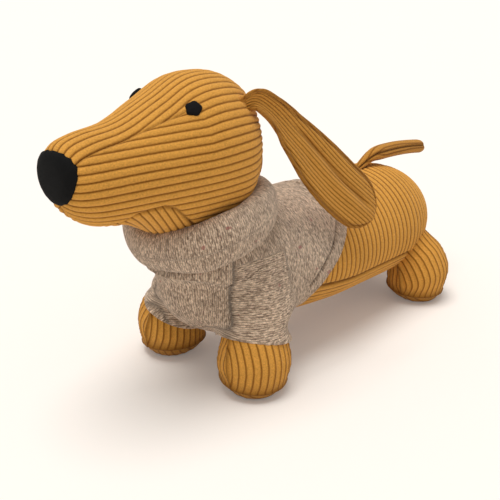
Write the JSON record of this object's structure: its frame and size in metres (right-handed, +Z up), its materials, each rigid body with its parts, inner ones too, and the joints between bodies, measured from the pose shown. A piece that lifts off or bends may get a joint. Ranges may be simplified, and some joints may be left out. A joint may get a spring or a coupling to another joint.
{
  "type": "weighted fabric door stop",
  "caption": "Weighted fabric door stop: a long stuffed corduroy dog standing on short legs, in a marled knitted jumper with a roll collar",
  "frame": {"origin": "on the floor plane under the middle of the bounding box", "axes": "+Z up, the nose points along -X, the dog's left side is -Y"},
  "size_m": [0.3736, 0.127, 0.2141],
  "materials": {
    "corduroy": "matt wide-wale cotton corduroy, ochre",
    "knit": "matt marled wool knit, taupe",
    "black_thread": "dense satin stitch, black"
  },
  "bodies": {
    "root": {"torso": "corduroy", "neck": "corduroy", "head": "corduroy", "nose_patch": "black_thread", "eye_left": "black_thread", "eye_right": "black_thread", "ear_left": "corduroy", "ear_right": "corduroy", "front_leg_left": "corduroy", "front_leg_right": "corduroy", "rear_leg_left": "corduroy", "rear_leg_right": "corduroy", "tail": "corduroy", "jumper_body": "knit", "jumper_sleeve_left": "knit", "jumper_sleeve_right": "knit", "jumper_roll_collar": "knit"}
  },
  "joints": []
}
